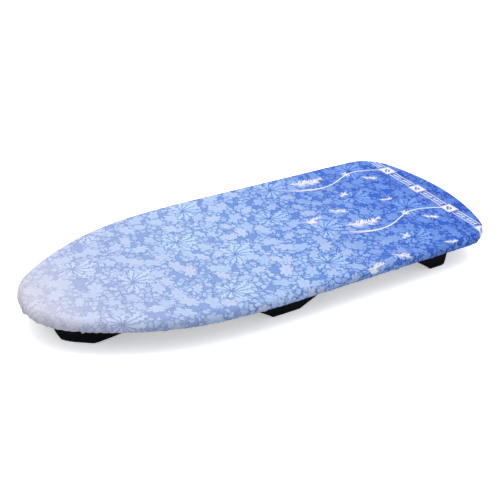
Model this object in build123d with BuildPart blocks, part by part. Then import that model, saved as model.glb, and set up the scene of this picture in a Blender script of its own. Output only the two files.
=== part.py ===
from build123d import *
import os
from math import asin, cos, degrees, radians, sin, sqrt, tan

# A compact tabletop ironing board: a light moulded core under a padded, stretched cotton
# cover, standing on six short feet. Nose towards -X, square end towards +X, ironing
# surface up. Origin: centre of the footprint on the table that the feet stand on.
# All sizes in millimetres, all angles in degrees.

# ---- covered board --------------------------------------------------------------------
LENGTH = 730.0            # nose tip to square end
WIDTH = 300.0             # at the widest
HEIGHT = 53.0             # table to ironing surface
SLAB = 18.0               # top to underside
EDGE_RADIUS = 8.8         # rolled edge
# half of the plan outline, in tangent pieces from the nose tip to the square end
NOSE_RADIUS = 85.0
NOSE_ARC = 52.6
SHOULDER_RADIUS = 385.0
SHOULDER_ARC = 31.9
CORNER_RADIUS = 63.0      # after a long side arc and a straight side
CORNER_ARC = 67.0

# ---- layers and hem -------------------------------------------------------------------
CLOTH = 0.7
LAYER_GAP = 0.1           # air between layers that are not bonded
PADDING = 3.9
FILM = 0.3                # heat-reflecting film under the padding
HEM_INSET = 16.0          # hem tunnel centre, inwards from the outline
HEM_RADIUS = 2.6
HEM_BORE = 1.5
MOUTH_ANGLE = 5.6         # hem tunnel ends, either side of the middle of the end bow

# ---- drawstring and its lock ----------------------------------------------------------
CORD_RADIUS = 1.25
STRAND_Y = 4.0            # the two strands through the lock, each side of the middle
STRAND_TURN = 12.0        # bend from the hem into a strand
STRAND_HOLE = 1.5         # radius of the barrel's holes for the strands
LOCK_X = 319.0
PRESS = 3.0               # travel of the plunger
BARREL = (13.0, 22.5, 9.4)
BARREL_MOUTH = 9.0        # open end of the barrel, where the plunger goes in
BARREL_WALL = 1.5
BARREL_ROUNDING = 2.5
TONGUE = (9.0, 5.0)       # plunger's flat shank, X and Z
TONGUE_GAP = 0.08
TONGUE_ENDS = (-7.0, 12.5)
WINDOW_HEIGHT = 3.0
WINDOW_PLAY = 0.05        # strand to the window's edge that grips it
BUTTON = (12.0, 3.6, 8.6)
BUTTON_ROUNDING = 1.5
SPRING_RADIUS = 1.7
SPRING_WIRE = 0.25
SPRING_PITCH = 1.0
SPRING_GAP = 0.05
BELL = (9.0, 13.0, 7.0)   # cap that joins the two cord ends
BELL_X = 284.0
BELL_ROUNDING = 2.0

# ---- core board -----------------------------------------------------------------------
POCKET = (50.0, 36.0, 8.0)     # weight-saving pockets: X, Y, depth
POCKET_PITCH = (60.0, 46.0)
POCKET_COUNT = (8, 3)
POCKET_CENTRE_X = -15.0
POCKET_CORNER = 6.0
POCKET_DRAFT = 8.0
LOCK_BAY = (76.0, 46.0, 3.0)   # shallow bay that the cord lock sits in
LOCK_BAY_X = 303.0

# ---- feet, pads and fasteners ---------------------------------------------------------
FOOT_TOP_INSET = 19.5     # outer wall of every foot at its top, inwards from the outline
FOOT_WALL = 3.0
FOOT_FLOOR = 3.5
FOOT_CORNER = 3.0
SOLE_ROUNDING = 1.2
PAD = 2.0
PAD_MARGIN = 1.5          # pad's edge, inwards from the foot's
PAD_CORNER = 2.5
PAD_HOLE = 5.2
BOSS_RADIUS = 7.0
RIB = 2.4
HEAD_SEAT = 22.0          # height of the face that a screw head pulls on
HEAD_RADIUS = 3.8
HEAD_HEIGHT = 2.6
HEAD_CHAMFER = 0.9
CROSS_SLOT = (4.2, 0.9, 1.3)   # each arm of a screw's cross recess: length, width, depth
SCREW_RADIUS = 1.9
SCREW_LENGTH = 20.0
SCREW_HOLE = 2.15
WELL_RADIUS = 4.6         # screwdriver well in a foot
INSERT_RADIUS = 3.0
INSERT_LENGTH = 9.0
INSERT_BORE_DEPTH = 9.6
GROOVE_DEPTH = 0.4
GROOVE_WIDTH = 1.2
GROOVES = (2.2, 5.6)      # start of each groove round an insert, from its lower end
PIN_CLEARANCE = 0.05

# Each foot is a slice of a drafted skirt that follows the outline. A slice has its span
# along X, at the sole and at the top, the place of its inner wall in Y at the same heights,
# and the slope of its outer wall from vertical.
MIDDLE_X = -30.5
SLICES = {
    "nose": {"sole": (-328.0, -288.0), "top": (-340.0, -243.0), "inner": (14.0, 12.0), "draft": 13.3},
    "middle": {
        "sole": (MIDDLE_X - 25.5, MIDDLE_X + 25.5),
        "top": (MIDDLE_X - 74, MIDDLE_X + 74),
        "inner": (83.0, 75.0),
        "draft": 13.3,
    },
    "end": {"sole": (230.0, 260.5), "top": (178.0, 263.0), "inner": (83.0, 75.0), "draft": 1.8},
}
SCREWS = {
    "nose": [(-313, 26), (-298, 44)],
    "middle": [(MIDDLE_X - 11, 103), (MIDDLE_X + 11, 103)],
    "end": [(246, 92), (246, 113)],
}
# Seen from above with the nose ahead, +Y is the right hand side.
FEET = [(f"{kind}_{hand}", kind, side) for kind in SLICES for hand, side in (("right", 1), ("left", -1))]
BEYOND = 400.0            # well clear of the board on every side

# ---- derived heights ------------------------------------------------------------------
UNDER = HEIGHT - SLAB
CORE_BOTTOM = UNDER + CLOTH + LAYER_GAP
PADDING_BOTTOM = HEIGHT - CLOTH - LAYER_GAP - PADDING
FILM_TOP = PADDING_BOTTOM - LAYER_GAP
FILM_BOTTOM = FILM_TOP - FILM
CORE_TOP = FILM_BOTTOM - LAYER_GAP
CORD_Z = UNDER - HEM_RADIUS - LAYER_GAP
FOOT_HEIGHT = CORE_BOTTOM - PAD
CAVITY_FLOOR = PAD + FOOT_FLOOR

os.makedirs("parts", exist_ok=True)


# ---- plan outline ---------------------------------------------------------------------
def on_circle(centre, radius, angle):
    """The point at an angle on a circle."""
    return (centre[0] + radius * cos(radians(angle)), centre[1] + radius * sin(radians(angle)))


# centres of the arcs on the +Y side, each arc tangent to the next
HALF = WIDTH / 2
nose_end = 180 - NOSE_ARC
shoulder_end = nose_end - SHOULDER_ARC
corner_end = 90 - CORNER_ARC
NOSE_CENTRE = (NOSE_RADIUS - LENGTH / 2, 0.0)
SHOULDER_CENTRE = on_circle(NOSE_CENTRE, NOSE_RADIUS - SHOULDER_RADIUS, nose_end)
side_start = on_circle(SHOULDER_CENTRE, SHOULDER_RADIUS, shoulder_end)
SIDE_RADIUS = (HALF - side_start[1]) / (1 - sin(radians(shoulder_end)))
SIDE_CENTRE = on_circle(side_start, -SIDE_RADIUS, shoulder_end)
END_RADIUS = CORNER_RADIUS + (HALF - CORNER_RADIUS) / sin(radians(corner_end))
END_CENTRE = (LENGTH / 2 - END_RADIUS, 0.0)
CORNER_CENTRE = on_circle(END_CENTRE, END_RADIUS - CORNER_RADIUS, corner_end)


def side_curves(inset, side):
    """One long side of the outline, shoulder to corner; side is 1 for +Y, -1 for -Y."""
    arcs = [
        (SHOULDER_CENTRE, SHOULDER_RADIUS, shoulder_end, nose_end),
        (SIDE_CENTRE, SIDE_RADIUS, 90, shoulder_end),
        (CORNER_CENTRE, CORNER_RADIUS, corner_end, 90),
    ]
    for centre, radius, first, last in arcs:
        start = first if side > 0 else -last
        CenterArc((centre[0], side * centre[1]), radius - inset, start, last - first)
    edge_y = side * (HALF - inset)
    Line((SIDE_CENTRE[0], edge_y), (CORNER_CENTRE[0], edge_y))


def hem_curves(inset, mouth_angle):
    """The outline left open at the middle of the square end."""
    CenterArc(NOSE_CENTRE, NOSE_RADIUS - inset, nose_end, 2 * NOSE_ARC)
    for side in (1, -1):
        side_curves(inset, side)
        start = mouth_angle if side > 0 else -corner_end
        CenterArc(END_CENTRE, END_RADIUS - inset, start, corner_end - mouth_angle)


def board_outline(inset):
    """Plan of the board, moved inwards by inset."""
    with BuildSketch() as plan:
        with BuildLine():
            CenterArc(NOSE_CENTRE, NOSE_RADIUS - inset, nose_end, 2 * NOSE_ARC)
            side_curves(inset, 1)
            side_curves(inset, -1)
            CenterArc(END_CENTRE, END_RADIUS - inset, -corner_end, 2 * corner_end)
        make_face()
    return plan.sketch


def board_slab(inset):
    """The covered board's rounded slab, made smaller by inset on every side."""
    with BuildPart() as slab:
        with BuildSketch(Plane.XY.offset(UNDER + inset)):
            add(board_outline(inset))
        extrude(amount=SLAB - 2 * inset)
        rims = slab.edges().group_by(Axis.Z)
        fillet(rims[0] + rims[-1], radius=EDGE_RADIUS - inset)
    return slab.part


# ---- shapes that the feet share -------------------------------------------------------
def slice_bounds(kind, wall, height):
    """A slice's low X, high X and low Y at a height, its walls moved inwards by wall."""
    foot_slice = SLICES[kind]
    share = (height - PAD) / FOOT_HEIGHT
    low_x, high_x = [a + (b - a) * share for a, b in zip(foot_slice["sole"], foot_slice["top"])]
    at_sole, at_top = foot_slice["inner"]
    low_y = at_sole + (at_top - at_sole) * share + wall
    return low_x + wall, high_x - wall, low_y


def skirt_inset(kind, wall, height):
    """How far in from the outline a foot's outer wall stands at a height."""
    slope = tan(radians(SLICES[kind]["draft"]))
    return FOOT_TOP_INSET + (CORE_BOTTOM - height) * slope + wall


def slice_plan(kind, side, wall, height):
    """A slice's rectangle at a height."""
    low_x, high_x, low_y = slice_bounds(kind, wall, height)
    with BuildSketch(Plane.XY.offset(height)) as plan:
        with Locations(((low_x + high_x) / 2, side * (low_y + BEYOND) / 2)):
            Rectangle(high_x - low_x, BEYOND - low_y)
    return plan.sketch


def foot_block(kind, side, wall, bottom, top):
    """A foot's drafted block between two heights, its walls moved inwards by wall."""
    with BuildPart() as skirt:
        with BuildSketch(Plane.XY.offset(bottom)):
            add(board_outline(skirt_inset(kind, wall, bottom)))
        extrude(amount=top - bottom, taper=-SLICES[kind]["draft"])
    with BuildPart() as wedge:
        add(slice_plan(kind, side, wall, bottom))
        add(slice_plan(kind, side, wall, top))
        loft(ruled=True)
    return skirt.part & wedge.part


def pegs(spots, radius, bottom, top):
    """Upright round pegs, to add or to take away."""
    with BuildPart() as peg_group:
        with BuildSketch(Plane.XY.offset(bottom)):
            with Locations(*spots):
                Circle(radius)
        extrude(amount=top - bottom)
    return peg_group.part


def is_sharp(piece, edge):
    """Whether the two faces that meet at an edge make an angle there."""
    middle = edge @ 0.5
    normals = [face.normal_at(middle) for face in piece.faces() if face.distance_to(middle) < 1e-4]
    return normals[0].get_angle(normals[1]) > 1


def upright_corners(foot):
    """A foot's sharp edges that run from its sole to its top."""
    tall = foot.edges().filter_by(lambda edge: edge.bounding_box().size.Z > FOOT_HEIGHT / 2)
    return tall.filter_by(lambda edge: is_sharp(foot, edge))


slab_inside = board_slab(CLOTH + LAYER_GAP)
screw_spots = {
    name: [(x, side * y) for x, y in SCREWS[kind]] for name, kind, side in FEET
}
all_screw_spots = [spot for spots in screw_spots.values() for spot in spots]

# ---- core board -----------------------------------------------------------------------
with BuildPart() as core_board:
    add(slab_inside)
    split(bisect_by=Plane.XY.offset(CORE_TOP), keep=Keep.BOTTOM)
    with BuildSketch(Plane.XY.offset(CORE_BOTTOM)):
        with Locations((POCKET_CENTRE_X, 0)):
            with GridLocations(*POCKET_PITCH, *POCKET_COUNT):
                RectangleRounded(POCKET[0], POCKET[1], POCKET_CORNER)
    extrude(amount=POCKET[2], taper=POCKET_DRAFT, mode=Mode.SUBTRACT)
    with BuildSketch(Plane.XY.offset(CORE_BOTTOM)):
        with Locations((LOCK_BAY_X, 0)):
            RectangleRounded(LOCK_BAY[0], LOCK_BAY[1], POCKET_CORNER)
    extrude(amount=LOCK_BAY[2], mode=Mode.SUBTRACT)
    insert_bore = INSERT_RADIUS + PIN_CLEARANCE
    bore_end = CORE_BOTTOM + INSERT_BORE_DEPTH
    add(pegs(all_screw_spots, insert_bore, CORE_BOTTOM, bore_end), mode=Mode.SUBTRACT)
core_board.part.label = "core_board"
export_step(core_board.part, "parts/core_board.step")

# ---- feet and their pads --------------------------------------------------------------
for name, kind, side in FEET:
    spots = screw_spots[name]

    with BuildPart() as hollow:
        add(foot_block(kind, side, FOOT_WALL, CAVITY_FLOOR, CORE_BOTTOM))
        add(pegs(spots, BOSS_RADIUS, CAVITY_FLOOR, CORE_BOTTOM), mode=Mode.SUBTRACT)
        for x, y in spots:
            with Locations((x, y, CORE_BOTTOM)):
                Box(RIB, BEYOND, 2 * FOOT_HEIGHT, mode=Mode.SUBTRACT)
                Box(BEYOND, RIB, 2 * FOOT_HEIGHT, mode=Mode.SUBTRACT)

    with BuildPart() as foot:
        add(foot_block(kind, side, 0, PAD, CORE_BOTTOM))
        fillet(upright_corners(foot), radius=FOOT_CORNER)
        fillet(foot.edges().group_by(Axis.Z)[0], radius=SOLE_ROUNDING)
        add(hollow.part, mode=Mode.SUBTRACT)
        add(pegs(spots, WELL_RADIUS, PAD, HEAD_SEAT), mode=Mode.SUBTRACT)
        add(pegs(spots, SCREW_HOLE, HEAD_SEAT, CORE_BOTTOM), mode=Mode.SUBTRACT)
    foot.part.label = f"foot_{name}"
    export_step(foot.part, f"parts/foot_{name}.step")

    with BuildPart() as pad:
        with BuildSketch() as pad_plan:
            add(board_outline(skirt_inset(kind, PAD_MARGIN, PAD)))
            add(slice_plan(kind, side, PAD_MARGIN, PAD), mode=Mode.INTERSECT)
            cut_ends = slice_bounds(kind, PAD_MARGIN, PAD)[:2]
            fillet(
                pad_plan.vertices().filter_by(lambda v: min(abs(v.X - x) for x in cut_ends) < 0.01),
                radius=PAD_CORNER,
            )
            with Locations(*spots):
                Circle(PAD_HOLE, mode=Mode.SUBTRACT)
        extrude(amount=PAD)
    pad.part.label = f"pad_{name}"
    export_step(pad.part, f"parts/pad_{name}.step")

# ---- fasteners ------------------------------------------------------------------------
with BuildPart() as foot_screws:
    head_end = HEAD_SEAT - HEAD_HEIGHT
    add(pegs(all_screw_spots, HEAD_RADIUS, head_end, HEAD_SEAT))
    chamfer(foot_screws.edges().group_by(Axis.Z)[0], length=HEAD_CHAMFER)
    add(pegs(all_screw_spots, SCREW_RADIUS, HEAD_SEAT, HEAD_SEAT + SCREW_LENGTH))
    chamfer(foot_screws.edges().group_by(Axis.Z)[-1], length=HEAD_CHAMFER)
    with BuildSketch(Plane.XY.offset(head_end)):
        with Locations(*all_screw_spots):
            Rectangle(CROSS_SLOT[0], CROSS_SLOT[1])
            Rectangle(CROSS_SLOT[1], CROSS_SLOT[0])
    extrude(amount=CROSS_SLOT[2], mode=Mode.SUBTRACT)
foot_screws.part.label = "foot_screws"
export_step(foot_screws.part, "parts/foot_screws.step")

with BuildPart() as threaded_inserts:
    insert_top = CORE_BOTTOM + INSERT_LENGTH
    add(pegs(all_screw_spots, INSERT_RADIUS, CORE_BOTTOM, insert_top))
    for groove in GROOVES:
        with BuildSketch(Plane.XY.offset(CORE_BOTTOM + groove)):
            with Locations(*all_screw_spots):
                Circle(INSERT_RADIUS)
            with Locations(*all_screw_spots):
                Circle(INSERT_RADIUS - GROOVE_DEPTH, mode=Mode.SUBTRACT)
        extrude(amount=GROOVE_WIDTH, mode=Mode.SUBTRACT)
    thread = SCREW_RADIUS + PIN_CLEARANCE
    add(pegs(all_screw_spots, thread, CORE_BOTTOM, insert_top), mode=Mode.SUBTRACT)
threaded_inserts.part.label = "threaded_inserts"
export_step(threaded_inserts.part, "parts/threaded_inserts.step")

# ---- layers over the core -------------------------------------------------------------
with BuildPart() as reflective_film:
    add(slab_inside)
    split(bisect_by=Plane.XY.offset(FILM_TOP), keep=Keep.BOTTOM)
    split(bisect_by=Plane.XY.offset(FILM_BOTTOM), keep=Keep.TOP)
reflective_film.part.label = "reflective_film"
export_step(reflective_film.part, "parts/reflective_film.step")

with BuildPart() as padding:
    add(slab_inside)
    split(bisect_by=Plane.XY.offset(PADDING_BOTTOM), keep=Keep.TOP)
padding.part.label = "padding"
export_step(padding.part, "parts/padding.step")

with BuildPart() as cover_cloth:
    add(board_slab(0))
    add(board_slab(CLOTH), mode=Mode.SUBTRACT)
    with BuildSketch(Plane.XY.offset(UNDER)):
        add(board_outline(HEM_INSET + HEM_RADIUS))
    extrude(amount=CORE_BOTTOM - UNDER, mode=Mode.SUBTRACT)
cover_cloth.part.label = "cover_cloth"
export_step(cover_cloth.part, "parts/cover_cloth.step")

with BuildPart() as hem_binding:
    with BuildLine(Plane.XY.offset(CORD_Z)) as hem_route:
        hem_curves(HEM_INSET, MOUTH_ANGLE)
    hem_path = hem_route.wire()
    with BuildSketch(Plane(origin=hem_path @ 0, z_dir=hem_path % 0)):
        Circle(HEM_RADIUS)
        Circle(HEM_BORE, mode=Mode.SUBTRACT)
    sweep(path=hem_path)
hem_binding.part.label = "hem_binding"
export_step(hem_binding.part, "parts/hem_binding.step")

# ---- drawstring -----------------------------------------------------------------------
# One elastic cord through the whole hem. Both ends leave the hem at the middle of the
# square end, turn inwards side by side, pass the lock and end in the cord bell.
turn_y = STRAND_Y + STRAND_TURN
turn_reach = END_RADIUS - HEM_INSET - STRAND_TURN
turn_angle = degrees(asin(turn_y / turn_reach))
turn_x = END_CENTRE[0] + sqrt(turn_reach**2 - turn_y**2)

with BuildPart() as drawstring:
    with BuildLine(Plane.XY.offset(CORD_Z)) as cord_route:
        hem_curves(HEM_INSET, turn_angle)
        for side in (1, -1):
            bend_start = -90 if side > 0 else -turn_angle
            CenterArc((turn_x, side * turn_y), STRAND_TURN, bend_start, 90 + turn_angle)
            Line((turn_x, side * STRAND_Y), (BELL_X, side * STRAND_Y))
    cord_path = cord_route.wire()
    with BuildSketch(Plane(origin=cord_path @ 0, z_dir=cord_path % 0)):
        Circle(CORD_RADIUS)
    sweep(path=cord_path)
drawstring.part.label = "drawstring"
export_step(drawstring.part, "parts/drawstring.step")

# ---- cord lock ------------------------------------------------------------------------
barrel_end = BARREL_MOUTH - BARREL[1]
chamber_end = barrel_end + BARREL_WALL

with BuildPart() as lock_barrel:
    with Locations((LOCK_X, BARREL_MOUTH, CORD_Z)):
        Box(*BARREL, align=(Align.CENTER, Align.MAX, Align.CENTER))
    fillet(lock_barrel.edges().filter_by(Axis.Y), radius=BARREL_ROUNDING)
    fillet(lock_barrel.edges().group_by(Axis.Y)[0], radius=BARREL_WALL / 2)
    with Locations((LOCK_X, chamber_end, CORD_Z)):
        Box(
            TONGUE[0] + 2 * TONGUE_GAP,
            BARREL[1],
            TONGUE[1] + 2 * TONGUE_GAP,
            align=(Align.CENTER, Align.MIN, Align.CENTER),
            mode=Mode.SUBTRACT,
        )
    with BuildSketch(Plane.YZ.offset(LOCK_X)):
        with Locations((STRAND_Y, CORD_Z), (-STRAND_Y, CORD_Z)):
            Circle(STRAND_HOLE)
    extrude(amount=BARREL[0], both=True, mode=Mode.SUBTRACT)
lock_barrel.part.label = "lock_barrel"
export_step(lock_barrel.part, "parts/lock_barrel.step")

grip_edge = CORD_RADIUS + WINDOW_PLAY
window_length = 2 * grip_edge + PRESS

with BuildPart() as lock_plunger:
    with Locations((LOCK_X, TONGUE_ENDS[0], CORD_Z)):
        Box(
            TONGUE[0],
            TONGUE_ENDS[1] - TONGUE_ENDS[0],
            TONGUE[1],
            align=(Align.CENTER, Align.MIN, Align.CENTER),
        )
    with BuildSketch(Plane.YZ.offset(LOCK_X)):
        middle = PRESS / 2
        with Locations((middle + STRAND_Y, CORD_Z), (middle - STRAND_Y, CORD_Z)):
            SlotOverall(window_length, WINDOW_HEIGHT)
    extrude(amount=BARREL[0], both=True, mode=Mode.SUBTRACT)
    with BuildSketch(Plane.XZ.offset(-TONGUE_ENDS[1])):
        with Locations((LOCK_X, CORD_Z)):
            RectangleRounded(BUTTON[0], BUTTON[2], BARREL_ROUNDING)
    extrude(amount=-BUTTON[1])
    fillet(lock_plunger.edges().group_by(Axis.Y)[-1], radius=BUTTON_ROUNDING)
lock_plunger.part.label = "lock_plunger"
export_step(lock_plunger.part, "parts/lock_plunger.step")

spring_start = chamber_end + SPRING_GAP + SPRING_WIRE
spring_length = TONGUE_ENDS[0] - SPRING_GAP - SPRING_WIRE - spring_start
with BuildPart() as lock_spring:
    with BuildLine():
        coil = Helix(
            pitch=SPRING_PITCH,
            height=spring_length,
            radius=SPRING_RADIUS,
            center=(LOCK_X, spring_start, CORD_Z),
            direction=(0, 1, 0),
        )
    with BuildSketch(Plane(origin=coil @ 0, z_dir=coil % 0)):
        Circle(SPRING_WIRE)
    sweep(path=coil, is_frenet=True)
lock_spring.part.label = "lock_spring"
export_step(lock_spring.part, "parts/lock_spring.step")

with BuildPart() as cord_bell:
    with Locations((BELL_X, 0, CORD_Z)):
        Box(*BELL)
    fillet(cord_bell.edges().filter_by(Axis.X), radius=BELL_ROUNDING)
    fillet(cord_bell.edges().group_by(Axis.X)[0], radius=BELL_ROUNDING)
    with BuildSketch(Plane.YZ.offset(BELL_X)):
        with Locations((STRAND_Y, CORD_Z), (-STRAND_Y, CORD_Z)):
            Circle(CORD_RADIUS + PIN_CLEARANCE)
    extrude(amount=BELL[0], mode=Mode.SUBTRACT)
cord_bell.part.label = "cord_bell"
export_step(cord_bell.part, "parts/cord_bell.step")
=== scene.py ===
from math import asin, ceil, cos, degrees, pi, radians, sin, sqrt

import bmesh
import bpy
import numpy as np
from mathutils import Matrix, Vector


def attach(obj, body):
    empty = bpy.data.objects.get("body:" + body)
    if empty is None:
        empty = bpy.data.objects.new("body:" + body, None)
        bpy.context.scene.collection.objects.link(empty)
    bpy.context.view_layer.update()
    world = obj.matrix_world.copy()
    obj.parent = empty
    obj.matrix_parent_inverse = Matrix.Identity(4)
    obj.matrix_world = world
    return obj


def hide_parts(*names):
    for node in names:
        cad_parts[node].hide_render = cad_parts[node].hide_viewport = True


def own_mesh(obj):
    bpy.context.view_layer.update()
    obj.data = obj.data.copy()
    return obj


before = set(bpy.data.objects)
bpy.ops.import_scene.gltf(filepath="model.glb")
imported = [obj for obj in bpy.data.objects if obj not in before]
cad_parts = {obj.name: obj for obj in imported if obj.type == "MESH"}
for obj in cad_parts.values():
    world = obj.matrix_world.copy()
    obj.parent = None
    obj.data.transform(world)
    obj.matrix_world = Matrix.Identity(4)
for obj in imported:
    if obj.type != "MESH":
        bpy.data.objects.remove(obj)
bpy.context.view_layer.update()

# A compact tabletop ironing board. Lengths in this file are millimetres in the CAD's frame,
# and become metres where a mesh or the camera is made. Lamps are in metres, and cut areas in square
# metres.
MM = 0.001

# ---- the covered board, as the CAD has it ------------------------------------------------
LENGTH, WIDTH = 730.0, 300.0
TOP, UNDER = 53.0, 35.0
EDGE = 8.8                    # radius of the rolled edge
NOSE_RADIUS, NOSE_ARC = 85.0, 52.6
SHOULDER_RADIUS, SHOULDER_ARC = 385.0, 31.9
CORNER_RADIUS, CORNER_ARC = 63.0, 67.0
LAYER = 0.8                   # cloth and the air under it
HEM_INSET, HEM_Z = 16.0, 32.3
MOUTH_ANGLE = 5.6             # where the hem stops, each side of the cord's way out
STRAND_Y, STRAND_TURN, STRAND_END = 4.0, 12.0, 284.0   # the cord's two strands to the bell
HALF = WIDTH / 2


def on_circle(centre, radius, angle):
    """The point of a circle at an angle in degrees from +X."""
    return (centre[0] + radius * cos(radians(angle)), centre[1] + radius * sin(radians(angle)))


nose_end = 180 - NOSE_ARC
shoulder_end = nose_end - SHOULDER_ARC
corner_end = 90 - CORNER_ARC
NOSE = (NOSE_RADIUS - LENGTH / 2, 0.0)
SHOULDER = on_circle(NOSE, NOSE_RADIUS - SHOULDER_RADIUS, nose_end)
side_start = on_circle(SHOULDER, SHOULDER_RADIUS, shoulder_end)
SIDE_RADIUS = (HALF - side_start[1]) / (1 - sin(radians(shoulder_end)))
SIDE = on_circle(side_start, -SIDE_RADIUS, shoulder_end)
END_RADIUS = CORNER_RADIUS + (HALF - CORNER_RADIUS) / sin(radians(corner_end))
END = (LENGTH / 2 - END_RADIUS, 0.0)
CORNER = on_circle(END, END_RADIUS - CORNER_RADIUS, corner_end)


def outline(step, start=0.0):
    """Points and outward normals round the board, from the middle of the square end (or start
    degrees of its bow past it) along the +Y side to the nose and back, and their distances."""
    half = []

    def arc(centre, radius, first, last):
        count = max(2, ceil(radius * radians(last - first) / step))
        for k in range(count):
            a = radians(first + (last - first) * k / count)
            half.append((centre[0] + radius * cos(a), centre[1] + radius * sin(a), cos(a), sin(a)))

    arc(END, END_RADIUS, start, corner_end)
    arc(CORNER, CORNER_RADIUS, corner_end, 90)
    count = ceil((CORNER[0] - SIDE[0]) / step)
    half += [(CORNER[0] + (SIDE[0] - CORNER[0]) * k / count, HALF, 0, 1) for k in range(count)]
    arc(SIDE, SIDE_RADIUS, 90, shoulder_end)
    arc(SHOULDER, SHOULDER_RADIUS, shoulder_end, nose_end)
    arc(NOSE, NOSE_RADIUS, nose_end, 180)
    half = np.array(half)
    mirrored = half[::-1] * (1, -1, 1, -1)
    tip = np.array([[-LENGTH / 2, 0, -1, 0]])
    rows = np.concatenate([half, tip, mirrored if start else mirrored[:-1]])
    gaps = np.linalg.norm(np.diff(rows[:, :2], axis=0), axis=1)
    return rows[:, :2], rows[:, 2:], np.concatenate([[0], np.cumsum(gaps)])


# ---- meshes --------------------------------------------------------------------------------
def new_object(name, points, faces, smooth=True):
    """A mesh object from points in millimetres."""
    mesh = bpy.data.meshes.new(name)
    mesh.from_pydata([tuple(p * MM) for p in np.asarray(points, float)], [], faces)
    mesh.validate()
    if smooth:
        mesh.shade_smooth()
    mesh.update()
    piece = bpy.data.objects.new(name, mesh)
    bpy.context.scene.collection.objects.link(piece)
    return piece


def bridge(count, rings, closed=True, flip=False):
    """Quads between neighbouring rings of count points each."""
    faces = []
    for r in range(rings - 1):
        for k in range(count if closed else count - 1):
            a, b = r * count + k, r * count + (k + 1) % count
            quad = (a, b, b + count, a + count)
            faces.append(quad[::-1] if flip else quad)
    return faces


def caps(sides, count):
    """The two end faces of a tube of count points."""
    return [tuple(range(sides))[::-1], tuple(range(count - sides, count))]


def merge_close(piece, within=0.02):
    """Joins points closer than this many millimetres, and faces every face outwards."""
    bm = bmesh.new()
    bm.from_mesh(piece.data)
    bmesh.ops.remove_doubles(bm, verts=bm.verts, dist=within * MM)
    bmesh.ops.dissolve_degenerate(bm, dist=1e-7, edges=bm.edges)
    bmesh.ops.recalc_face_normals(bm, faces=bm.faces)
    bm.to_mesh(piece.data)
    bm.free()


LAST_INSET = 58.0             # rings follow the outline this far in, then run to the spine
SPINE = (-278, 225)
SPINE_RINGS = 12


def inner_rings(places, normals, first_inset, height, step=8.0):
    """Rings from an inset to a spine along the middle of the board."""
    insets = list(np.arange(first_inset + step, LAST_INSET, step)) + [LAST_INSET]
    rings = [np.c_[places - d * normals, np.full(len(places), height)] for d in insets]
    last = rings[-1]
    spine = np.c_[np.clip(last[:, 0], *SPINE), np.zeros(len(last)), np.full(len(last), height)]
    shares = np.linspace(0, 1, SPINE_RINGS)[1:]
    return rings + [last + (spine - last) * share for share in shares]


def tube(name, path, radius, sides, cap=True):
    """A tube along path; radius is a function of (ring, angle)."""
    path = np.asarray(path, float)
    tangents = np.gradient(path, axis=0)
    tangents /= np.linalg.norm(tangents, axis=1)[:, None]
    up = np.array([0.0, 0.0, 1.0])
    side = np.cross(up, tangents)
    side /= np.linalg.norm(side, axis=1)[:, None]
    above = np.cross(tangents, side)
    angles = np.arange(sides) * 2 * pi / sides
    points = []
    for k, p in enumerate(path):
        r = np.array([radius(k, a) for a in angles])[:, None]
        points.append(p + (side[k] * np.cos(angles)[:, None]
                           + above[k] * np.sin(angles)[:, None]) * r)
    points = np.concatenate(points)
    faces = bridge(sides, len(path))
    if cap:
        faces += caps(sides, len(points))
    return new_object(name, points, faces)


# ---- numbers inside a material -------------------------------------------------------------
class Num:
    """A number in a material's nodes, so that a pattern is written as arithmetic."""

    def __init__(self, tree, out):
        self.tree, self.out = tree, out

    def op(self, kind, *others):
        node = self.tree.nodes.new("ShaderNodeMath")
        node.operation = kind
        for socket, value in zip(node.inputs, (self, *others)):
            if isinstance(value, Num):
                self.tree.links.new(value.out, socket)
            else:
                socket.default_value = value
        return Num(self.tree, node.outputs[0])

    def __add__(self, o): return self.op("ADD", o)
    def __radd__(self, o): return self.op("ADD", o)
    def __sub__(self, o): return self.op("SUBTRACT", o)
    def __mul__(self, o): return self.op("MULTIPLY", o)
    def __rmul__(self, o): return self.op("MULTIPLY", o)
    def __truediv__(self, o): return self.op("DIVIDE", o)
    def __neg__(self): return self.op("MULTIPLY", -1.0)
    def __rsub__(self, o): return self.op("MULTIPLY", -1.0).op("ADD", o)
    def floor(self): return self.op("FLOOR")
    def round(self): return self.op("ROUND")
    def fract(self): return self.op("FRACT")
    def abs(self): return self.op("ABSOLUTE")
    def sin(self): return self.op("SINE")
    def cos(self): return self.op("COSINE")
    def sqrt(self): return self.op("MAXIMUM", 0.0).op("SQRT")
    def power(self, e): return self.op("MAXIMUM", 0.0).op("POWER", e)
    def min(self, o): return self.op("MINIMUM", o)
    def max(self, o): return self.op("MAXIMUM", o)
    def above(self, o): return self.op("GREATER_THAN", o)
    def below(self, o): return self.op("LESS_THAN", o)

    def ramp(self, low, high, to_low=0.0, to_high=1.0):
        """to_low below low, to_high above high, and a smooth step between them."""
        node = self.tree.nodes.new("ShaderNodeMapRange")
        node.interpolation_type = "SMOOTHSTEP"
        self.tree.links.new(self.out, node.inputs["Value"])
        values = {"From Min": low, "From Max": high, "To Min": to_low, "To Max": to_high}
        for name, value in values.items():
            node.inputs[name].default_value = value
        return Num(self.tree, node.outputs[0])

    def hash(self, seed=0.0):
        """The same number from 0 to 1 for the same whole number."""
        return ((self * 12.9898 + (78.233 + seed)).sin() * 43758.5453).fract()


def length(x, y):
    """How far a point is from the middle."""
    return (x * x + y * y).sqrt()


def angle(y, x):
    """The direction of a point from the middle, in radians."""
    return y.op("ARCTAN2", x)


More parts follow.
